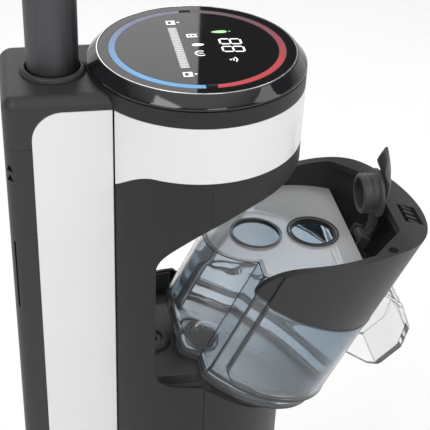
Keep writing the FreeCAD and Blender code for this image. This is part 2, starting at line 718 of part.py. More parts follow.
def tank_collar():
    """Dark horseshoe collar with a wide front lip and a latch pocket."""
    skin = disc(TANK_R, below(141), below(60)).common(box(-70, 70, -70, 30.4, below(141), below(60)))
    inset = disc(61.6, below(141), below(60)).common(box(-70, 70, -20, 37.6, below(141), below(60)))
    block = fused([skin, inset]).common(collar_top())
    hole = disc(NECK_R + 0.2, below(142), below(60))
    mouth = hole.common(mouth_prism())
    lower = hole.common(collar_drop(4.2))
    block = block.cut(mouth).cut(lower)
    block = block.cut(box(-29.9, 29.9, 25, 70, below(142), below(60)))
    pocket = box(LATCH_X - 10.4, LATCH_X + 10.4, -58.6, -45, below(78.5), below(60))
    teardrop = disc(3.0, below(90), below(60), -53, -26)
    return block.cut(pocket).cut(teardrop)


def mouth_prism():
    """Plan of the collar's mouth, with its two front corners filled by webs."""
    plan = [(-60, 70), (-60, -12), (-31, -37), (31, -37), (60, -12), (60, 70)]
    loop = [V(x, y, below(142)) for x, y in plan]
    prism = Part.Face(Part.makePolygon(loop + loop[:1])).extrude(V(0, 0, 82))
    return rounded(prism, 8, lambda e: is_upright(e) and e.BoundBox.YMax < 0)


def collar_drop(depth):
    """The collar's top region lowered by the lip's thickness."""
    region = collar_top()
    region.translate(V(0, 0, -depth))
    return fused([region, box(-70, 70, -66, 37.6, below(160), below(141))])


def tank_latch():
    """Ribbed latch slider in the collar's lip."""
    base = box(LATCH_X - 10, LATCH_X + 10, -56.6, -45.4 - 1.9, below(78.2), below(75.4))
    ribs = [box(x, x + 3.2, -56.2, -47.9, below(76), below(71.6))
            for x in (LATCH_X - 9.6, LATCH_X - 4, LATCH_X + 1.6, LATCH_X + 6.6)]
    return fused([base] + ribs)


def tank_grip():
    """Clear hollow grip on the tank's front."""
    outer = [(-58, below(128)), (-68, below(128.5)), (-81, below(132)), (-98, below(148)),
             (-102, below(165)), (-95, below(184.5)), (-86, below(186.5)), (-58, below(181.5))]
    inner = [(-58, below(131.5)), (-70, below(131.5)), (-80, below(134.8)), (-95.4, below(149.4)),
             (-99.2, below(165)), (-93.2, below(182)), (-90, below(200)), (-58, below(200))]
    shell = rounded(prism_x(outer, -GRIP_HALF, GRIP_HALF), 5,
                    lambda e: along_x(e) and e.BoundBox.YMax < -66)
    grip = shell.cut(prism_x(inner, 2.4 - GRIP_HALF, GRIP_HALF - 2.4))
    return grip.cut(disc(TANK_R + 0.02, below(210), below(120)))


def fill_plug():
    """Rubber plug with its strap and pull tab, drawn pressed into the filling hole."""
    z = below(111)
    plug = turned([(HOLE_R - 3.4, z - 8), (HOLE_R - 1.2, z - 8), (HOLE_R - 0.5, z - 6.5),
                   (HOLE_R - 1.4, z - 4.6), (HOLE_R - 0.5, z - 3), (HOLE_R - 1.2, z - 1.2),
                   (HOLE_R - 1.2, z + 2.6), (HOLE_R + 2.2, z + 2.6), (HOLE_R + 2.2, z + 5.2),
                   (0, z + 5.2), (0, z + 1.2), (HOLE_R - 3.4, z + 1.2)], 0, -1)
    tab = prism_x([(10, z + 3.6), (16, z + 2.9), (31, z + 2.9), (34, z + 4), (30, z + 6.0),
                   (22, z + 7.4), (13, z + 7.2), (8, z + 5.0)], -TAB_HALF, TAB_HALF)
    strap = prism_x([(-31, z + 4.9), (-31, z + 2.9), (-12, z + 2.9), (-12, z + 4.9)], -5.5, 5.5)
    return tilted(fused([plug, tab, strap]), -1).fuse(strap_foot()).removeSplitter()


def strap_foot():
    """Hinge eye at the end of the plug's strap."""
    y, z = PLUG_Y, below(PLUG_DROP)
    eye = rod(3.2, (-5.5, y, z), (5.5, y, z)).cut(rod(1.5 + RUN, (-6, y, z), (6, y, z)))
    link = prism_x([(y + 1.5, z + 2.4), (y - 1.5, z + 2.6), (y + 1.6, z + 6.6), (y + 6.6, z + 6.0)],
                   -5.5, 5.5)
    return fused([eye, link])


def strap_root():
    """Ribbed foot that holds the plug's hinge pin on the tank's front step."""
    y, z = PLUG_Y, below(PLUG_DROP)
    ears = [box(x0, x0 + 3, y - 3.4, y + 3.4, below(120.9), z + 3.4) for x0 in (-9, 6)]
    pin = rod(1.5, (-9, y, z), (9, y, z))
    foot = box(-9, 9, y - 5, y + 7, below(120.9), below(117))
    return fused(ears + [pin, foot])


def tipped(shape):
    """Turn a seated tank piece to the tipped-out pose in which the machine is drawn."""
    moved = shape.copy()
    moved.rotate(TIP_CENTRE, X_AXIS, TIP_ANGLE)
    return moved


def opened(shape):
    """Swing the plug up about its strap's hinge."""
    moved = shape.copy()
    moved.rotate(PLUG_HINGE, X_AXIS, PLUG_ANGLE)
    return moved


def build():
    """All pieces by name."""
    column = column_shell()
    pieces = {
        "head_base": head_base(), "head_cover": head_cover(), "brush_window": brush_window(),
        "scraper_blade": scraper_blade(), "squeegee": squeegee(), "suction_duct": suction_duct(),
        "brush_motor": brush_motor(), "wheel_axle": wheel_axle(), "wheel_posts": wheel_posts(),
        "brush_roller": brush_roller(), "roller_core": roller_core(),
        "wheel_left": wheel(1), "wheel_right": wheel(-1),
        "neck_yoke": neck_yoke(), "trunnion_pin": trunnion_pin(),
        "swivel_spigot": swivel_spigot(), "base_plate": base_plate(),
        "front_shell": front_shell(column), "visor_shell": visor_shell(column),
        "rear_shell": rear_shell(), "white_band": white_band(), "head_band": head_band(),
        "bezel_ring": bezel_ring(), "display_glass": display_glass(),
        "led_ring_blue": led_arc(False), "led_ring_red": led_arc(True),
        "display_board": display_board(), "bay_floor": bay_floor(), "bay_liner": bay_liner(),
        "water_port": water_port(), "side_panel_left": side_panel(1),
        "side_panel_right": side_panel(-1), "rear_cover": rear_cover(), "spine_cap": spine_cap(),
        "tube_collar": tube_collar(), "handle_tube": handle_tube(), "battery_pack": battery_pack(),
        "vacuum_motor": vacuum_motor(), "impeller": impeller(), "exhaust_filter": exhaust_filter(),
        "water_pump": water_pump(), "grip_left": grip_half(1), "grip_right": grip_half(-1),
        "power_button": grip_button(1068), "mode_button": grip_button(1042),
        "dirty_tank_shell": dirty_tank_shell(), "dirty_tank_lid": dirty_tank_lid(),
        "float_ball": float_ball(), "dirty_tank_latch": dirty_tank_latch(),
    }
    seated = {
        "tank_shell": tank_shell(), "tank_plate": tank_plate(), "tank_collar": tank_collar(),
        "tank_grip": tank_grip(), "tank_water": tank_water(), "fill_gasket": fill_gasket(),
        "vent_ring": vent_ring(), "strap_root": strap_root(), "tank_latch": tank_latch(),
        "fill_plug": opened(fill_plug()),
    }
    for name, shape in seated.items():
        pieces[name] = tipped(shape)
    return pieces


def main():
    os.makedirs("parts", exist_ok=True)
    for name, shape in build().items():
        print(name, len(shape.Solids), round(shape.Volume / 1000, 2), shape.isValid())
        shape.exportStep("parts/" + name + ".step")


main()
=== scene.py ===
"""Looks of an upright wet and dry floor scrubber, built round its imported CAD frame. Metres."""
import json
import math

import bmesh
import bpy
from mathutils import Matrix, Vector


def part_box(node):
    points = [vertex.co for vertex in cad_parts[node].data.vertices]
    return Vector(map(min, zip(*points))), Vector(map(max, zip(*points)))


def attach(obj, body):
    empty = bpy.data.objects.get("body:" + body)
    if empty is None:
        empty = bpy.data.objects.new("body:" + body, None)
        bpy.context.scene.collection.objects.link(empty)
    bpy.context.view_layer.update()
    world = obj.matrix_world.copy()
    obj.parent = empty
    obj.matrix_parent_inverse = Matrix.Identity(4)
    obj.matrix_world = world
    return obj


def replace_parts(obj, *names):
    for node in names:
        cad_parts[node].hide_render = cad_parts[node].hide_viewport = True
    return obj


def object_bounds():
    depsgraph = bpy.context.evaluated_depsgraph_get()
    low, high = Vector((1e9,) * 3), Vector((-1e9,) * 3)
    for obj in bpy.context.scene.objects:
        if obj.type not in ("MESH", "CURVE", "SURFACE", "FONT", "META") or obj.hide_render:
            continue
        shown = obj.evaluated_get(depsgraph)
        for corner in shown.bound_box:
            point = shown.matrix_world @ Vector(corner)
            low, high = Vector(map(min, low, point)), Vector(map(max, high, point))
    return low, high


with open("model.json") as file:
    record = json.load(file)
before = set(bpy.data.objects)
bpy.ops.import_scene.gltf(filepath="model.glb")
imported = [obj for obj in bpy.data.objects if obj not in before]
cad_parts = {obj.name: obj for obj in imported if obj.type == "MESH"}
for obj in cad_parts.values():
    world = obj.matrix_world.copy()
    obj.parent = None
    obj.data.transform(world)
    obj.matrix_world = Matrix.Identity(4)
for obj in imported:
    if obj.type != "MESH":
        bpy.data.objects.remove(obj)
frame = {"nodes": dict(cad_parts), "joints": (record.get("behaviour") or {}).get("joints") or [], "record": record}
NODES = frame["nodes"]
CAD_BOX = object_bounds()
MM = 0.001
WELD = 2e-6
ORIGIN = Vector((0, 0, 0))
ABOUT_X = Vector((1, 0, 0))
UP = Vector((0, 0, 1))

GLASS_LOW, GLASS_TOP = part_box("display_glass")
DISPLAY = Vector(((GLASS_LOW.x + GLASS_TOP.x) / 2, (GLASS_LOW.y + GLASS_TOP.y) / 2, GLASS_TOP.z))
DISPLAY_R = (GLASS_TOP.x - GLASS_LOW.x) / 2

# The camera stands beside the machine's right (-X), a little behind and above the display.
CAMERA_OFFSET = Vector((-0.59531, 0.10612, 0.28860))
CAMERA_YAW = math.radians(-101.5)
CAMERA_PITCH = math.radians(33.91)
CAMERA_ROLL = math.radians(2.57)
CAMERA_LENS = 95.0


# ---- node material helpers ----
def shader(name, colour, rough, **inputs):
    """New material with a Principled shader; inputs are set on the shader's own sockets."""
    material = bpy.data.materials.new(name)
    material.use_nodes = True
    bsdf = material.node_tree.nodes["Principled BSDF"]
    bsdf.inputs["Base Color"].default_value = (*colour, 1.0)
    bsdf.inputs["Roughness"].default_value = rough
    for key, value in inputs.items():
        bsdf.inputs[key.replace("_", " ")].default_value = value
    return material, bsdf


def add(material, kind, **values):
    """New node; each value goes to the input of that name, or else to the node's setting."""
    node = material.node_tree.nodes.new(kind)
    for key, value in values.items():
        if key in node.inputs:
            node.inputs[key].default_value = value
        else:
            setattr(node, key, value)
    return node


def link(material, source, target):
    material.node_tree.links.new(source, target)


def object_coords(material, scale=(1, 1, 1)):
    """Coordinates that are fixed to the object, multiplied by scale."""
    coords = add(material, "ShaderNodeTexCoord")
    mapping = add(material, "ShaderNodeMapping", Scale=scale)
    link(material, coords.outputs["Object"], mapping.inputs["Vector"])
    return mapping.outputs["Vector"]


def along_axis(material, axis, low, high):
    """Place along an object axis: 0 at low and 1 at high."""
    parts = add(material, "ShaderNodeSeparateXYZ")
    link(material, object_coords(material), parts.inputs["Vector"])
    share = add(material, "ShaderNodeMapRange")
    share.inputs["From Min"].default_value = low
    share.inputs["From Max"].default_value = high
    link(material, parts.outputs[axis], share.inputs["Value"])
    return share.outputs["Result"]


def noise(material, scale, detail, stretch=(1, 1, 1)):
    node = add(material, "ShaderNodeTexNoise", Scale=scale, Detail=detail)
    link(material, object_coords(material, stretch), node.inputs["Vector"])
    return node.outputs["Fac"]


def ramp(material, factor, low, high, at=(0.3, 0.7)):
    """Colour ramp between two colours."""
    node = add(material, "ShaderNodeValToRGB")
    for element, colour, position in zip(node.color_ramp.elements, (low, high), at):
        element.color = (*colour, 1.0)
        element.position = position
    link(material, factor, node.inputs["Fac"])
    return node.outputs["Color"]


def shade(colour, amount):
    return tuple(c * amount for c in colour)


def colour_drift(material, bsdf, factor, low, high):
    """Base colour that wanders between low and high; both are colours."""
    link(material, ramp(material, factor, low, high), bsdf.inputs["Base Color"])


def rough_drift(material, bsdf, factor, low, high):
    """Roughness that wanders between low and high."""
    node = add(material, "ShaderNodeMapRange")
    node.inputs["To Min"].default_value = low
    node.inputs["To Max"].default_value = high
    link(material, factor, node.inputs["Value"])
    link(material, node.outputs["Result"], bsdf.inputs["Roughness"])


def bump(material, bsdf, height, strength, depth):
    """Surface relief; depth is in mm."""
    node = add(material, "ShaderNodeBump", Strength=strength, Distance=depth * MM)
    link(material, height, node.inputs["Height"])
    link(material, node.outputs["Normal"], bsdf.inputs["Normal"])


# ---- materials ----
def moulded(name, colour, rough, **inputs):
    """Injection moulded plastic with a fine spark-eroded grain and soft colour drift."""
    material, bsdf = shader(name, colour, rough, **inputs)
    drift = noise(material, 9.0, 2.0)
    colour_drift(material, bsdf, drift, shade(colour, 0.93), shade(colour, 1.07))
    fine = noise(material, 900.0, 4.0)
    rough_drift(material, bsdf, fine, rough - 0.05, rough + 0.06)
    bump(material, bsdf, fine, 0.35, 0.02)
    return material


def lacquered(name, colour, rough, ripple=55.0, depth=0.004, **inputs):
    """Glossy lacquered or polished plastic with the faint orange peel of its coat."""
    material, bsdf = shader(name, colour, rough, **inputs)
    drift = noise(material, 6.0, 2.0)
    colour_drift(material, bsdf, drift, shade(colour, 0.97), shade(colour, 1.02))
    peel = noise(material, ripple, 2.0)
    smear = noise(material, 14.0, 5.0)
    rough_drift(material, bsdf, smear, max(rough - 0.02, 0.0), rough + 0.04)
    bump(material, bsdf, peel, 0.2, depth)
    return material


def clear(name, tint, rough, index, through, ripple=35.0, depth=0.006, edge=1.0):
    """Clear or hazy plastic; edge darkens it where it is seen edge on: partly the longer path through it, partly
    painted darkness for the light its edges bend aside.
    """
    material, bsdf = shader(name, tint, rough, Transmission_Weight=through, IOR=index)
    if edge < 1.0:
        # darkening by viewing angle: partly absorption on the longer path, partly painted edge darkness
        grazing = add(material, "ShaderNodeLayerWeight", Blend=0.3)
        tone = ramp(material, grazing.outputs["Facing"], tint, shade(tint, edge), (0.45, 0.92))
        link(material, tone, bsdf.inputs["Base Color"])
    scuffs = noise(material, 60.0, 6.0)
    rough_drift(material, bsdf, scuffs, rough * 0.5, rough * 2.0)
    bump(material, bsdf, noise(material, ripple, 2.0), 0.15, depth)
    return material


def graded(material, rear, front, reach):
    """Multiplies a material's tint by one that goes from rear to front along Y."""
    bsdf = material.node_tree.nodes["Principled BSDF"]
    tone = ramp(material, along_axis(material, "Y", *reach), front, rear, (0.0, 1.0))
    product = add(material, "ShaderNodeMix", data_type="RGBA", blend_type="MULTIPLY")
    product.inputs["Factor"].default_value = 1.0
    link(material, bsdf.inputs["Base Color"].links[0].from_socket, product.inputs["A"])
    link(material, tone, product.inputs["B"])
    link(material, product.outputs["Result"], bsdf.inputs["Base Color"])


def glowing(name, bright, dull, strength):
    """Light guide that is brightest on the machine's right (-X) and fades to its left."""
    material, bsdf = shader(name, bright, 0.35, Emission_Strength=strength)
    share = along_axis(material, "X", -0.6 * DISPLAY_R, 0.7 * DISPLAY_R)
    colour = ramp(material, share, bright, dull, (0.0, 1.0))
    link(material, colour, bsdf.inputs["Emission Color"])
    link(material, colour, bsdf.inputs["Base Color"])
    return material


def lit(name, colour, strength):
    """Printed sign lit from behind, a little uneven over its area."""
    material, bsdf = shader(name, colour, 0.4, Emission_Strength=strength)
    patch = ramp(material, noise(material, 260.0, 1.0), shade(colour, 0.88), colour)
    link(material, patch, bsdf.inputs["Emission Color"])
    return material


def metal(name, colour, rough, stretch=(1, 1, 1), scale=400.0):
    """Brushed or anodised metal; stretch sets the way the brushing runs."""
    material, bsdf = shader(name, colour, rough, Metallic=1.0)
    grain = noise(material, scale, 5.0, stretch)
    rough_drift(material, bsdf, grain, rough - 0.06, rough + 0.08)
    colour_drift(material, bsdf, grain, shade(colour, 0.9), shade(colour, 1.08))
    bump(material, bsdf, grain, 0.15, 0.01)
    return material


def rubbery(name, colour, rough=0.62):
    """Moulded rubber or silicone with dusty, slightly uneven sheen."""
    material, bsdf = shader(name, colour, rough, Sheen_Weight=0.15, Sheen_Roughness=0.5)
    cloud = noise(material, 30.0, 5.0)
    colour_drift(material, bsdf, cloud, shade(colour, 0.85), shade(colour, 1.2))
    rough_drift(material, bsdf, cloud, rough - 0.1, rough + 0.1)
    bump(material, bsdf, noise(material, 700.0, 3.0), 0.3, 0.03)
    return material


def woven(name, colour, pile):
    """Dense nap or felt: short fibres, with painted shade at their roots where the relief is low."""
    material, bsdf = shader(name, colour, 0.95, Sheen_Weight=0.6, Sheen_Roughness=0.4)
    fibre_relief_and_shade = noise(material, pile, 8.0)
    # colour follows the fibre relief: painted shade at the roots
    colour_drift(material, bsdf, fibre_relief_and_shade, shade(colour, 0.55), shade(colour, 1.3))
    bump(material, bsdf, fibre_relief_and_shade, 0.9, 0.6)
    return material


DARK = (0.0145, 0.0147, 0.0151)
FINISHES = {
    # material slots of the record
    "dark_shell": moulded("satin dark shell", DARK, 0.45, Specular_IOR_Level=0.26),
    "white_gloss": lacquered("white lacquer", (0.655, 0.656, 0.66), 0.25, Specular_IOR_Level=0.4),
    "black_gloss": lacquered("black bezel", (0.008, 0.008, 0.01), 0.06),
    "black_glass": lacquered("display glass", (0.003, 0.003, 0.004), 0.02, depth=0.0003),
    "led_blue": glowing("blue light guide", (0.075, 0.22, 0.40), (0.09, 0.09, 0.14), 0.85),
    "led_red": glowing("red light guide", (0.29, 0.022, 0.028), (0.06, 0.03, 0.045), 0.85),
    "clear_tank": clear("smoke clear tank", (0.95, 0.95, 0.95), 0.012, index=1.2, through=0.93,
                        depth=0.002, edge=0.12),
    "water": clear("water", (0.76, 0.85, 0.92), 0.004, index=1.12, through=0.98, ripple=60.0,
                   depth=0.01),
    "rubber": rubbery("black rubber", (0.012, 0.012, 0.013)),
    "grey_rubber": rubbery("dark grey silicone", (0.026, 0.026, 0.028), 0.5),
    "tyre": rubbery("wheel tread", (0.02, 0.02, 0.021), 0.7),
    "nap": woven("roller nap", (0.20, 0.22, 0.26), 420.0),
    "steel": metal("ground steel", (0.60, 0.60, 0.62), 0.25, (0.05, 1, 1)),
    "tube": metal("anodised tube", (0.085, 0.086, 0.091), 0.46, (1, 1, 0.02)),
    "motor": metal("die-cast can", (0.45, 0.45, 0.47), 0.45, scale=120.0),
    "inner_plastic": moulded("inner plastic", (0.03, 0.03, 0.032), 0.5),
    "board": lacquered("circuit board", (0.01, 0.12, 0.04), 0.4, ripple=300.0, depth=0.02),
    "filter": woven("filter paper", (0.75, 0.74, 0.70), 260.0),
    "cells": lacquered("cell wrap", (0.08, 0.26, 0.22), 0.35),
    "button": moulded("grey key", (0.33, 0.34, 0.36), 0.4),
    "float_blue": moulded("float", (0.78, 0.77, 0.74), 0.45),
    # looks of single pieces
    "grip_clear": clear("clear grip", (0.93, 0.93, 0.93), 0.03, index=1.25, through=0.95,
                        depth=0.003, edge=0.1),
    "frosted": clear("frosted plate", (0.86, 0.865, 0.87), 0.06, index=1.1, through=0.7),
    "clear_lid": clear("clear smoke cover", (0.55, 0.57, 0.60), 0.03, index=1.3, through=0.95,
                       depth=0.003, edge=0.2),
    # near-black, hardly glossy: painted shade for the recessed marks and slit on the rear cover
    "painted_recess_shade": moulded("deep recess", (0.002, 0.002, 0.002), 0.9, Specular_IOR_Level=0.02),
    # dark tinted clear: painted darkness along clear edges, for the light they bend aside
    "edge": clear("painted dark edge", (0.10, 0.105, 0.11), 0.05, index=1.2, through=0.6),
    "trim": metal("bright trim", (0.85, 0.85, 0.86), 0.12),
    # dark shell painted 1.7 times lighter: painted light on the collars, spine cap and rear cover
    "collar_shell": moulded("satin collar", shade(DARK, 1.7), 0.42, Specular_IOR_Level=0.3),
    # lighter than the inner plastic: painted light inside the shaded bay, on its liner, floor and water port
    "bay_painted_light": moulded("bay lining painted lighter", (0.075, 0.076, 0.078), 0.5),
    "sign_white": lit("white signs", (0.85, 0.85, 0.86), 1.0),
    "sign_grey": lit("grey signs", (0.42, 0.42, 0.43), 0.7),
    "sign_green": lit("green sign", (0.30, 0.62, 0.24), 0.9),
}
graded(FINISHES["clear_tank"], rear=(0.90, 0.905, 0.91), front=(0.46, 0.52, 0.57),
       reach=(-0.105, -0.01))


# ---- mesh helpers ----
def turns(count):
    """Angles of even steps round a full turn."""
    return [2 * math.pi * k / count for k in range(count)]


def rectangle(x0, y0, x1, y1):
    return [(x0, y0), (x1, y0), (x1, y1), (x0, y1)]


def finish_mesh(name, built, body, slot, look=None, place=None):
    """Smooth piece from a bmesh, moved by the place matrix, that rides on a body."""
    if place is not None:
        bmesh.ops.transform(built, matrix=place, verts=built.verts)
    bmesh.ops.remove_doubles(built, verts=built.verts, dist=1e-6)
    bmesh.ops.recalc_face_normals(built, faces=built.faces)
    mesh = bpy.data.meshes.new(name)
    built.to_mesh(mesh)
    built.free()
    piece = bpy.data.objects.new(name, mesh)
    bpy.context.scene.collection.objects.link(piece)
    mesh.materials.append(FINISHES[look or slot])
    mesh.shade_smooth()
    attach(piece, body)
    return piece


def softened(points, radius, steps=3):
    """Closed outline with each corner turned into a short arc."""
    result = []
    for i, corner in enumerate(points):
        corner = Vector(corner)
        before = Vector(points[i - 1]) - corner
        after = Vector(points[(i + 1) % len(points)]) - corner
        reach = min(radius, 0.45 * before.length, 0.45 * after.length)
        start = corner + before.normalized() * reach
        end = corner + after.normalized() * reach
        for k in range(steps + 1):
            t = k / steps
            result.append(start * (1 - t) ** 2 + corner * 2 * t * (1 - t) + end * t ** 2)
    return result


def skin(target, low, high):
    """Faces between two rings of vertices."""
    for j in range(len(low)):
        target.faces.new((low[j - 1], low[j], high[j], high[j - 1]))


def loft(rings, closed=True):
    """Bmesh skinned over rings of points; the end rings are joined, or else capped."""
    built = bmesh.new()
    rows = [[built.verts.new(point) for point in ring] for ring in rings]
    for low, high in zip(rows, rows[1:]):
        skin(built, low, high)
    if closed:
        skin(built, rows[-1], rows[0])
    else:
        built.faces.new(rows[0])
        built.faces.new(rows[-1])
    return built


def lathe(profile, segments, centre=ORIGIN):
    """Closed (radius, height) outline turned about a vertical axis through centre."""
    return loft([[(centre.x + r * math.cos(turn), centre.y + r * math.sin(turn), centre.z + z)
                  for r, z in profile] for turn in turns(segments)])


# ---- carried-over CAD nodes ----
# edge widths by material slot, in mm
EDGE_WIDTH = {
    "clear_tank": 0.35, "water": 0.3, "black_glass": 0.25, "black_gloss": 0.3, "led_blue": 0.1,
    "led_red": 0.1, "white_gloss": 0.5, "rubber": 0.3, "grey_rubber": 0.3,
}
SOFT_EDGE = 0.45
# edges over the sharp angle are rounded; faces within the flat angle are joined
SHARP_ANGLE = math.radians(28.0)
FLAT_ANGLE = math.radians(0.5)
NODE_LOOK = {
    "tank_grip": "grip_clear", "tank_plate": "frosted", "brush_window": "clear_lid",
    "dirty_tank_shell": "clear_lid", "tank_collar": "collar_shell", "spine_cap": "collar_shell",
    "rear_cover": "collar_shell", "tube_collar": "collar_shell", "bay_liner": "bay_painted_light",
    "bay_floor": "bay_painted_light", "water_port": "bay_painted_light",
}


def joint(name):
    return next(j for j in frame["joints"] if j["name"] == name)


def round_edges(node, width):
    """Welds a node, then rounds its edges with normals that leave flat faces flat."""
    weld = node.modifiers.new("weld", "WELD")
    weld.merge_threshold = WELD
    flat = node.modifiers.new("flat faces", "DECIMATE")
    flat.decimate_type = "DISSOLVE"
    flat.angle_limit = FLAT_ANGLE
    bevel = node.modifiers.new("rounded edges", "BEVEL")
    bevel.width = width
    bevel.segments = 3
    bevel.limit_method = "ANGLE"
    bevel.angle_limit = SHARP_ANGLE
    bevel.use_clamp_overlap = True
    normals = node.modifiers.new("even normals", "WEIGHTED_NORMAL")
    normals.keep_sharp = False


def dress_nodes():
    """Every CAD node gets its finish and softly rounded edges."""
    slots = {part["node"]: part["material_slot"] for part in frame["record"]["subparts"]}
    for name, node in NODES.items():
        slot = slots[name]
        node.data.materials.clear()
        node.data.materials.append(FINISHES[NODE_LOOK.get(name, slot)])
        node.data.shade_smooth()
        round_edges(node, EDGE_WIDTH.get(slot, SOFT_EDGE) * MM)


dress_nodes()


# ---- display signs ----
SIGN_LIFT = 0.02 * MM
SIGN_DEPTH = 0.05 * MM


def sign_point(u, v):
    """Sign coordinates in mm, read by someone who stands behind the machine."""
    return DISPLAY + Vector((-u * MM, -v * MM, SIGN_LIFT))


def add_sign(built, outline):
    """Thin plate with the given (u, v) outline."""
    low = [built.verts.new(sign_point(u, v)) for u, v in outline]
    high = [built.verts.new(vert.co + UP * SIGN_DEPTH) for vert in low]
    built.faces.new(low)
    built.faces.new(high)
    skin(built, low, high)


def rect(u, v, width, height):
    """Rectangle about its middle."""
    return rectangle(u - width / 2, v - height / 2, u + width / 2, v + height / 2)


def bar(u0, v0, u1, v1, thick):
    """Digit segment with pointed ends."""
    along = Vector((u1 - u0, v1 - v0)).normalized()
    across = Vector((-along.y, along.x)) * thick / 2
    start, end = Vector((u0, v0)), Vector((u1, v1))
    inner = along * thick / 2
    return [start, start + inner + across, end - inner + across, end, end - inner - across,
            start + inner - across]


def add_digit(built, u, v, width, height, thick):
    """Figure eight of seven separate segments, leaning slightly."""
    lean, gap = 0.08, 0.35
    half_w, half_h = width / 2, height / 2
    bars = [bar(u - half_w + gap, v + level, u + half_w - gap, v + level, thick)
            for level in (-half_h, 0, half_h)]
    bars += [bar(u + side, v + low + gap, u + side, v + low + half_h - gap, thick)
             for side in (-half_w, half_w) for low in (-half_h, 0)]
    for outline in bars:
        add_sign(built, [(a + (b - v) * lean, b) for a, b in outline])


def arc_sign(u, v, radius, thick, middle, half_span, steps=8):
    """Short arc stroke about (u, v); the angles are in degrees."""
    outline = []
    for reach, order in ((radius + thick / 2, 1), (radius - thick / 2, -1)):
        for k in range(steps + 1)[::order]:
            turn = math.radians(middle - half_span + 2 * half_span * k / steps)
            outline.append((u + reach * math.cos(turn), v + reach * math.sin(turn)))
    return outline


def white_signs():
    """End signs of the level bar, three mode signs, two digits and the signal sign."""
    built = bmesh.new()
    for side in (-1, 1):
        tank = 34.5 * side
        add_sign(built, rect(tank, -13.2, 5.4, 0.9))
        add_sign(built, rect(tank - 2.3, -10.6, 0.8, 5.0))
        add_sign(built, rect(tank + 2.3, -10.6, 0.8, 5.0))
        add_sign(built, rect(tank, -9.4, 3.4, 2.2))
        add_sign(built, rect(tank, -6.4, 1.1, 1.5))
    add_sign(built, rect(-13.5, -0.4, 1.0, 5.6))
    add_sign(built, rect(-16.9, -0.4, 1.0, 5.6))
    add_sign(built, rect(-15.2, -3.6, 4.4, 1.0))
    for level in (-1.2, 1.2):
        add_sign(built, rect(-15.2, level, 2.2, 0.9))
    drop = [(-2.6 + 1.7 * math.cos(t), -0.8 + (2.0 if math.sin(t) < 0 else 5.2) * math.sin(t))
            for t in turns(20)]
    add_sign(built, drop)
    add_sign(built, arc_sign(8.8, 0.6, 3.1, 0.8, -90, 130, 14))
    add_sign(built, [(7.6, -1.6), (9.6, 0.2), (8.6, 0.4), (9.9, 2.6), (7.8, 0.9), (8.8, 0.6)])
    for u in (-5.3, 4.9):
        add_digit(built, u, 20.5, 6.7, 12.4, 1.15)
    for radius in (1.7, 3.6):
        add_sign(built, arc_sign(18.6, 16.6, radius, 0.8, 90, 48))
    add_sign(built, [(18.6 + 0.7 * math.cos(t), 16.4 + 0.7 * math.sin(t)) for t in turns(12)])
    return built


def grey_signs():
    """Cells of the level bar."""
    built = bmesh.new()
    count, start, pitch = 18, -25.8, 3.0
    for k in range(count):
        add_sign(built, rect(start + pitch * k, -11.2, pitch - 0.35, 5.2))
    return built


def leaf_sign():
    """Economy leaf with its stalk."""
    built = bmesh.new()
    blade = []
    for t in turns(24):
        width = 2.3 * math.sin(t) * (0.75 + 0.25 * math.cos(t))
        blade.append((-19.0 + width, 16.2 + 4.8 * math.cos(t)))
    add_sign(built, blade)
    add_sign(built, rect(-19.0, 22.6, 0.7, 1.2))
    return built


def signs():
    for name, builder in (("white", white_signs), ("grey", grey_signs), ("green", leaf_sign)):
        finish_mesh("display_signs_" + name, builder(), "body", "black_glass", "sign_" + name)


signs()


# ---- clean tank ----
TIP = joint("tank_tip")
TIP_CENTRE = Vector(TIP["pos_m"])
TIPPED = math.radians(-TIP["range_deg"][0])
FOLD = joint("plug_fold")
FOLD_HINGE = Vector(FOLD["pos_m"])
PLUG_OPEN = TIPPED * frame["record"]["behaviour"]["couplings"][0]["ratio"]
# how finely the water is remeshed, how far it is drawn in and lowered, how deep waves reach
WATER_VOXEL = 1.7 * MM
WATER_GAP = 0.9 * MM
WATER_SINK = 1.2 * MM
WAVE_DEPTH = 4 * MM
TANK_FLOOR = 2.6 * MM
# wall, and (outer radius, height) of each ring, in mm
VALVE_WALL = 1.3
VALVE_RINGS = ((18.5, 1.6), (14.6, 3.2), (11.0, 5.2), (7.4, 7.4), (3.6, 9.2))


def turn_about(centre, angle):
    """Rotation about an axis along X through centre."""
    return (Matrix.Translation(centre) @ Matrix.Rotation(angle, 4, ABOUT_X)
            @ Matrix.Translation(-centre))


def wave(x, y):
    """Height of the disturbed water over its level, in metres."""
    swell = math.sin(72 * x + 40 * y) + 0.7 * math.sin(118 * y - 60 * x + 1.3)
    chop = 0.55 * math.sin(260 * x + 190 * y) * math.sin(230 * y - 120 * x + 0.5)
    near = math.exp(-((x + 0.030) ** 2 + (y + 0.045) ** 2) / 0.0011)
    return (0.55 * swell + chop * (0.5 + 2.2 * near)) * MM


def water_body():
    """Water made from the CAD solid by fine remeshing, drawn in a little, its surface wavy."""
    source = NODES["tank_water"]
    solid = bpy.data.objects.new("water_solid", source.data.copy())
    bpy.context.scene.collection.objects.link(solid)
    remesh = solid.modifiers.new("remesh", "REMESH")
    remesh.mode = "VOXEL"
    remesh.voxel_size = WATER_VOXEL
    smooth = solid.modifiers.new("smooth", "SMOOTH")
    smooth.factor, smooth.iterations = 0.5, 14
    graph = bpy.context.evaluated_depsgraph_get()
    mesh = bpy.data.meshes.new_from_object(solid.evaluated_get(graph))
    bpy.data.objects.remove(solid)
    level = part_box("tank_water")[1].z
    built = bmesh.new()
    built.from_mesh(mesh)
    built.normal_update()
    shifts = []
    for vert in built.verts:
        shift = -vert.normal * WATER_GAP
        depth = level - vert.co.z
        if depth < WAVE_DEPTH:
            shift.z += (wave(vert.co.x, vert.co.y) - WATER_SINK) * (1 - depth / WAVE_DEPTH)
        shifts.append(shift)
    for vert, shift in zip(built.verts, shifts):
        vert.co += shift
    piece = finish_mesh("water_body", built, "clean_tank", "water")
    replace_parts(piece, "tank_water")


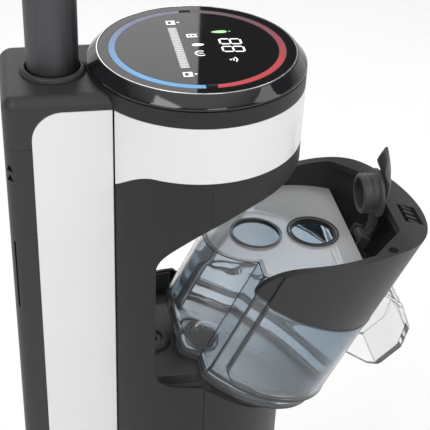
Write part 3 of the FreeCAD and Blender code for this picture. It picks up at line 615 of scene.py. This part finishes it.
def tank_valve():
    """Spring valve in the tank's bottom: nested rings that rise towards the middle."""
    seated = turn_about(TIP_CENTRE, -TIPPED)
    tipped = turn_about(TIP_CENTRE, TIPPED)
    floor_z = min((seated @ vert.co).z for vert in NODES["tank_shell"].data.vertices) + TANK_FLOOR
    port_low, port_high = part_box("water_port")
    centre = Vector((0, (port_low.y + port_high.y) / 2, floor_z))
    for number, (radius, height) in enumerate(VALVE_RINGS):
        outer, inner, top = radius * MM, (radius - VALVE_WALL) * MM, height * MM
        profile = softened([(outer, 0), (outer, top), (inner, top), (inner, 0)], 0.5 * MM)
        finish_mesh(f"tank_valve_ring_{number}", lathe(profile, 96, centre), "clean_tank",
                    "inner_plastic", place=tipped)


# ---- filling plug ----
def plug_frame():
    """Matrix from plug coordinates (closed, seated, origin at the hinge) to the rest pose."""
    opened = Matrix.Rotation(PLUG_OPEN, 4, ABOUT_X)
    tipped = Matrix.Rotation(TIPPED, 4, ABOUT_X)
    return Matrix.Translation(FOLD_HINGE) @ tipped @ opened


PLATE_SLOPE = math.radians(22.0)
HINGE_TO_HOLE = Vector((0, 32.3 * MM, -9.3 * MM))


def hole_frame():
    """Plug coordinates whose Z is square to the tank's sloping plate at the filling hole."""
    return (plug_frame() @ Matrix.Translation(HINGE_TO_HOLE)
            @ Matrix.Rotation(-PLATE_SLOPE, 4, ABOUT_X))


def plug_stopper():
    """Hollow stopper with sealing ribs and a flanged cap."""
    outline = [(10.4, -8.0), (12.6, -8.0), (13.5, -6.6), (12.5, -5.0), (13.5, -3.2), (12.6, -1.4),
               (12.8, 2.5), (16.1, 2.7), (16.1, 5.0), (0.01, 5.2), (0.01, 1.6), (10.2, 1.4)]
    profile = softened([(r * MM, z * MM) for r, z in outline], 0.7 * MM, 4)
    return finish_mesh("plug_stopper", lathe(profile, 96), "plug", "grey_rubber",
                       place=hole_frame())


def leaf_half_width(t):
    """Half width of the pull tab along its length, from its root to the pointed tip."""
    return (5.0 + 5.2 * math.sin(math.pi * t)) * math.sqrt(max(1 - t ** 6, 0.01)) * MM


def pull_tab():
    """Leaf-shaped pull tab that bows away from the plug and is cupped towards its tip."""
    rings = []
    steps, around = 36, 28
    for k in range(steps + 1):
        t = k / steps
        y = (-13 + 47.2 * t) * MM
        middle = (5.2 + 4.6 * math.sin(math.pi * t ** 0.9) + 1.4 * t) * MM
        half = leaf_half_width(t)
        thick = (1.6 - 0.8 * t) * MM
        free = min(max((y / MM - 12) / 8, 0), 1)
        cup = (2.2 + 4.6 * free) * MM
        ring = []
        for turn in turns(around):
            x = half * math.cos(turn)
            spine = 0.7 * MM * math.exp(-(x / (1.6 * MM)) ** 2) * math.sin(math.pi * t)
            lift = thick * math.sin(turn) + (spine if math.sin(turn) > 0 else 0)
            ring.append((x, y, middle + lift - cup * (x / (10 * MM)) ** 2))
        rings.append(ring)
    finish_mesh("plug_pull_tab", loft(rings, closed=False), "plug", "grey_rubber",
                place=hole_frame())


def strap():
    """Ribbed strap from the cap's edge down to the hinge eye."""
    matrix = hole_frame().inverted() @ plug_frame()
    start = Vector((0, -13.0 * MM, 3.9 * MM))
    end = matrix @ Vector((0, 1.0 * MM, 4.4 * MM))
    rings = []
    steps = 36
    for k in range(steps + 1):
        t = k / steps
        centre = start.lerp(end, t) + UP * (1.2 * MM * math.sin(math.pi * t))
        rib = 0.35 * math.cos(2 * math.pi * 6 * t) if t > 0.45 else 0.35
        half, thick = 5.2 * MM, (1.2 + rib) * MM
        outline = softened(rectangle(-half, -thick, half, thick), 0.9 * MM)
        rings.append([(p.x, centre.y, centre.z + p.y) for p in outline])
    finish_mesh("plug_strap", loft(rings, closed=False), "plug", "grey_rubber",
                place=hole_frame())


def hinge_eye():
    """Eye of the strap round the hinge pin, with its short neck."""
    half, bore = 5.4 * MM, 1.6 * MM
    rings = []
    for turn in turns(48):
        reach = 3.2 * MM + 1.6 * MM * max(math.sin(turn), 0) ** 6
        section = softened([(-half, bore), (-half, reach), (half, reach), (half, bore)], 0.5 * MM)
        rings.append([(p.x, math.cos(turn) * p.y, math.sin(turn) * p.y) for p in section])
    finish_mesh("plug_hinge_eye", loft(rings), "plug", "grey_rubber", place=plug_frame())


def filling_plug():
    pull_tab()
    strap()
    hinge_eye()
    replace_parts(plug_stopper(), "fill_plug")


def hole_ring(node, name, lips, slot, width):
    """Clear collar round a hole in the sloping plate, with raised lips; measures in mm."""
    low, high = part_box(node)
    centre = turn_about(TIP_CENTRE, -TIPPED) @ ((low + high) / 2)
    radius = (high.x - low.x) / 2
    place = (turn_about(TIP_CENTRE, TIPPED) @ Matrix.Translation(centre)
             @ Matrix.Rotation(-PLATE_SLOPE, 4, ABOUT_X))
    # clear lips take the dark edge look: painted darkness for the light their edges bend aside
    foot, lip_look = -1.6, "edge" if slot == "clear_tank" else None
    rings = [(name + "_collar", 0.2, width, foot, 1.6, "clear_tank", None)]
    rings += [(f"{name}_lip_{number}", out, thick, foot, top, slot, lip_look)
              for number, (out, thick, top) in enumerate(lips)]
    if name == "vent":
        rings.append(("vent_cap", 1.9, radius / MM - 1.91, -1.1, 0.1, "clear_tank", None))
    for piece_name, out, thick, bottom, top, finish, look in rings:
        outer = radius - out * MM
        inner = outer - thick * MM
        profile = softened(rectangle(inner, bottom * MM, outer, top * MM),
                           0.3 * min(thick, top - bottom) * MM)
        piece = finish_mesh(piece_name, lathe(profile, 128), "clean_tank", finish, look, place)
        if piece_name.endswith("collar"):
            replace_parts(piece, node)


# ---- roller ----
NAP_DEPTH = 7.6 * MM


def nap_sleeve():
    """Nap of the roller: spiral rows of short tufts, trimmed round."""
    low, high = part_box("brush_roller")
    centre_y, centre_z = (low.y + high.y) / 2, (low.z + high.z) / 2
    outer = (high.z - low.z) / 2
    inner = outer - NAP_DEPTH
    around, along = 192, 220
    rings = []
    for i in range(along + 1):
        t = i / along
        x = low.x + (high.x - low.x) * t
        end_round = 1.6 * MM * (max(0.0, abs(2 * t - 1) - 0.975) / 0.025) ** 2
        ring = []
        for turn in turns(around):
            row = math.cos(6 * turn + 2 * math.pi * 5 * t)
            tuft = math.sin(61 * turn + 7 * t) * math.sin(150 * t + 5 * turn)
            r = outer - (0.5 + 0.45 * row + 0.25 * tuft) * MM - end_round
            r = min(r, outer)
            ring.append((x, centre_y + r * math.cos(turn), centre_z + r * math.sin(turn)))
        rings.append(ring)
    for x in (high.x, low.x):
        rings.append([(x, centre_y + inner * math.cos(turn), centre_z + inner * math.sin(turn))
                      for turn in turns(around)])
    piece = finish_mesh("roller_nap", loft(rings), "roller", "nap")
    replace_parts(piece, "brush_roller")


# ---- moulded edges of the clear shell ----
def sharp_chains(node, angle):
    """Runs of sharp edges of a CAD node, as lists of points."""
    built = bmesh.new()
    built.from_mesh(NODES[node].data)
    bmesh.ops.remove_doubles(built, verts=built.verts, dist=WELD)
    sharp = [edge for edge in built.edges
             if len(edge.link_faces) == 2 and edge.calc_face_angle(0.0) > math.radians(angle)]
    meets = {}
    for edge in sharp:
        for vert in edge.verts:
            meets.setdefault(vert, []).append(edge)
    starts = [vert for vert in meets if len(meets[vert]) != 2] + list(meets)
    used, chains = set(), []
    for start in starts:
        for edge in meets[start]:
            if edge in used:
                continue
            vert, chain = start, [start.co.copy()]
            while edge is not None:
                used.add(edge)
                vert = edge.other_vert(vert)
                chain.append(vert.co.copy())
                onward = [e for e in meets[vert] if e not in used] if len(meets[vert]) == 2 else []
                edge = onward[0] if onward else None
            chains.append(chain)
    built.free()
    return chains


def swept(target, points, radius, around=6):
    """Thin round bead along a run of points, added to the target mesh."""
    rings = []
    side = None
    for k, point in enumerate(points):
        ahead = points[min(k + 1, len(points) - 1)] - points[max(k - 1, 0)]
        if ahead.length < 1e-9:
            continue
        along = ahead.normalized()
        if side is None:
            side = along.orthogonal().normalized()
        side = (side - along * side.dot(along)).normalized()
        across = along.cross(side)
        rings.append([target.verts.new(point + (side * math.cos(turn)
                                                + across * math.sin(turn)) * radius)
                      for turn in turns(around)])
    for first, second in zip(rings, rings[1:]):
        skin(target, first, second)
    for ring in (rings[0][::-1], rings[-1]):
        target.faces.new(ring)


def moulded_edges(node, body, angle, radius, shortest):
    """Rounded edges of a clear moulding as dark tinted beads: painted darkness for the light the real edges bend
    aside.
    """
    built = bmesh.new()
    for chain in sharp_chains(node, angle):
        length = sum((b - a).length for a, b in zip(chain, chain[1:]))
        if length > shortest:
            swept(built, chain, radius)
    finish_mesh(node + "_edges", built, body, "clear_tank", "edge")


# ---- small trim ----
def bezel_trim():
    """Thin bright ring where the glass meets the bezel."""
    r0, r1 = DISPLAY_R + 0.25 * MM, DISPLAY_R + 0.95 * MM
    profile = softened(rectangle(r0, -0.3 * MM, r1, 0.18 * MM), 0.15 * MM)
    finish_mesh("bezel_trim", lathe(profile, 240, DISPLAY), "body", "black_gloss", "trim")


def on_shell(node, place, heading):
    """Point and outward normal where a ray from outside meets a CAD node."""
    reach = 0.05
    start = Vector(place) - heading * reach
    hit, point, normal, _ = NODES[node].ray_cast(start, heading, distance=2 * reach)
    return (point, normal) if hit else (Vector(place), -heading)


MARK_X, MARK_Y, MARK_TOP = -0.0345, 0.1128, 0.640


def rear_marks():
    """Two small arrow marks and a long narrow slit on the rear cover's right (-X) corner, as thin near-black
    plates: painted shade of the recesses.
    """
    heading = Vector((0.5, -0.866, 0))
    built = bmesh.new()
    arrow = [(-2.2, -2.0), (2.2, -2.0), (0.0, 2.0)]
    slit = rectangle(-0.5, -24.5, 0.5, 24.5)
    for outline, drop in ((arrow, 54.0), (arrow, 60.5), (slit, 130.0)):
        point, normal = on_shell("rear_cover", (MARK_X, MARK_Y, MARK_TOP - drop * MM), heading)
        across = UP.cross(normal).normalized()
        under, over = [[built.verts.new(point + across * u * MM + UP * v * MM
                                        + normal * depth * MM) for u, v in outline]
                       for depth in (-0.4, 0.15)]
        built.faces.new(under[::-1])
        built.faces.new(over)
        skin(built, under, over)
    finish_mesh("rear_marks", built, "body", "dark_shell", "painted_recess_shade")


rear_marks()
water_body()
tank_valve()
filling_plug()
hole_ring("fill_gasket", "gasket", ((0.1, 0.9, 2.0), (2.4, 0.9, 1.9)), "rubber", 2.4)
hole_ring("vent_ring", "vent", ((0.1, 0.3, 1.8), (1.7, 0.3, 1.7)), "clear_tank", 1.8)
nap_sleeve()
bezel_trim()
moulded_edges("tank_shell", "clean_tank", 35, 0.38 * MM, 12 * MM)
moulded_edges("tank_grip", "clean_tank", 50, 0.2 * MM, 18 * MM)


# ---- camera, floor and light ----
FLOOR_HALF = 12.0
FLOOR_GAP = 0.5 * MM
# height of the view direction, brightness
SKY_LEVELS = ((0.0, 1.05), (0.2, 0.85), (0.36, 0.10), (0.6, 0.14), (0.8, 1.3), (1.0, 1.5))


def camera():
    """Camera at the eye point, turned by yaw, pitch and roll."""
    back = Vector((math.sin(CAMERA_YAW) * math.cos(CAMERA_PITCH),
                   -math.cos(CAMERA_YAW) * math.cos(CAMERA_PITCH), math.sin(CAMERA_PITCH)))
    level = Vector((math.cos(CAMERA_YAW), math.sin(CAMERA_YAW), 0))
    above = back.cross(level)
    right = level * math.cos(CAMERA_ROLL) + above * math.sin(CAMERA_ROLL)
    up = above * math.cos(CAMERA_ROLL) - level * math.sin(CAMERA_ROLL)
    data = bpy.data.cameras.new("camera")
    data.lens = CAMERA_LENS
    data.clip_start = 0.02
    eye = bpy.data.objects.new("camera", data)
    turned = Matrix((right, up, back)).transposed().to_4x4()
    eye.matrix_world = Matrix.Translation(DISPLAY + CAMERA_OFFSET) @ turned
    bpy.context.scene.collection.objects.link(eye)
    bpy.context.scene.camera = eye


def softbox(name, place, aim, width, height, power):
    """Rectangular area light at place that faces aim."""
    data = bpy.data.lights.new(name, "AREA")
    data.shape = "RECTANGLE"
    data.size, data.size_y = width, height
    data.energy = power
    lamp = bpy.data.objects.new(name, data)
    lamp.location = place
    lamp.rotation_euler = (Vector(aim) - Vector(place)).to_track_quat("-Z", "Y").to_euler()
    bpy.context.scene.collection.objects.link(lamp)


def studio():
    """Pale floor, four softboxes and the view transform."""
    built = bmesh.new()
    built.faces.new([built.verts.new((x, y, CAD_BOX[0].z - FLOOR_GAP)) for x, y in
                     rectangle(-FLOOR_HALF, -FLOOR_HALF, FLOOR_HALF, FLOOR_HALF)])
    mesh = bpy.data.meshes.new("floor")
    built.to_mesh(mesh)
    built.free()
    floor = bpy.data.objects.new("floor", mesh)
    bpy.context.scene.collection.objects.link(floor)
    material, bsdf = shader("pale floor", (0.93, 0.93, 0.93), 0.75)
    cloud = noise(material, 3.0, 3.0)
    colour_drift(material, bsdf, cloud, (0.925, 0.925, 0.925), (0.94, 0.94, 0.94))
    mesh.materials.append(material)
    target = (0, 0, 0.55)
    softbox("key", (-1.6, 1.5, 2.4), target, 1.2, 1.2, 26)
    softbox("front", (-0.8, -2.2, 1.6), target, 1.0, 1.6, 14)
    softbox("display", (2.0, 0.34, 1.65), (1.0, 0.34, 1.65), 1.4, 1.2, 8)
    softbox("fill", (-2.3, -0.5, 1.9), (0, 0, 0.5), 0.8, 0.8, 12)
    bpy.context.scene.view_settings.view_transform = "Standard"


def sky():
    """Studio walls that are bright at the horizon and overhead, with a darker stretch between."""
    world = bpy.data.worlds.new("studio sky")
    world.use_nodes = True
    background = world.node_tree.nodes["Background"]
    coords = add(world, "ShaderNodeTexCoord")
    parts = add(world, "ShaderNodeSeparateXYZ")
    link(world, coords.outputs["Generated"], parts.inputs["Vector"])
    band = add(world, "ShaderNodeValToRGB")
    stops = band.color_ramp.elements
    while len(stops) < len(SKY_LEVELS):
        stops.new(0.5)
    for stop, (place, level) in zip(stops, SKY_LEVELS):
        stop.position = place
        stop.color = (level, level, level, 1.0)
    link(world, parts.outputs["Z"], band.inputs["Fac"])
    link(world, band.outputs["Color"], background.inputs["Color"])
    background.inputs["Strength"].default_value = 1.0
    bpy.context.scene.world = world


camera()
studio()
sky()
